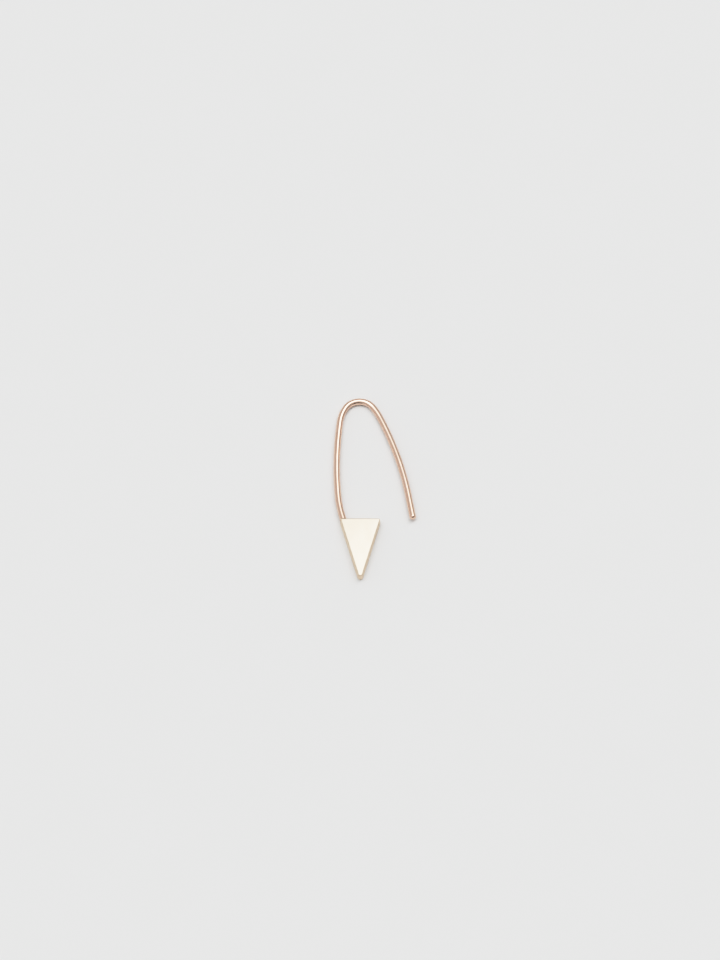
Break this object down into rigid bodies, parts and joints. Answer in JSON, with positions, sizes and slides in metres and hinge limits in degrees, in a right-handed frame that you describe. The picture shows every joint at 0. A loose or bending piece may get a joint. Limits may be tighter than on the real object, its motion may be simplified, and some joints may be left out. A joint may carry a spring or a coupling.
{
  "type": "safety pin earring",
  "caption": "Open safety pin earring: round gold wire bent into a long open loop, with a thick pointed triangular drop soldered to its closed side.",
  "frame": {"origin": "below the middle of the earring's box, on the surface that its flat back and the crown of its wire rest on", "axes": "+Y from the drop's tip to the crown of the wire, +X from the soldered leg to the free leg, +Z out of the drop's front face"},
  "size_m": [0.011, 0.027, 0.0014],
  "materials": {
    "gold": "high polish"
  },
  "bodies": {
    "root": {"earring": "gold"}
  },
  "joints": []
}
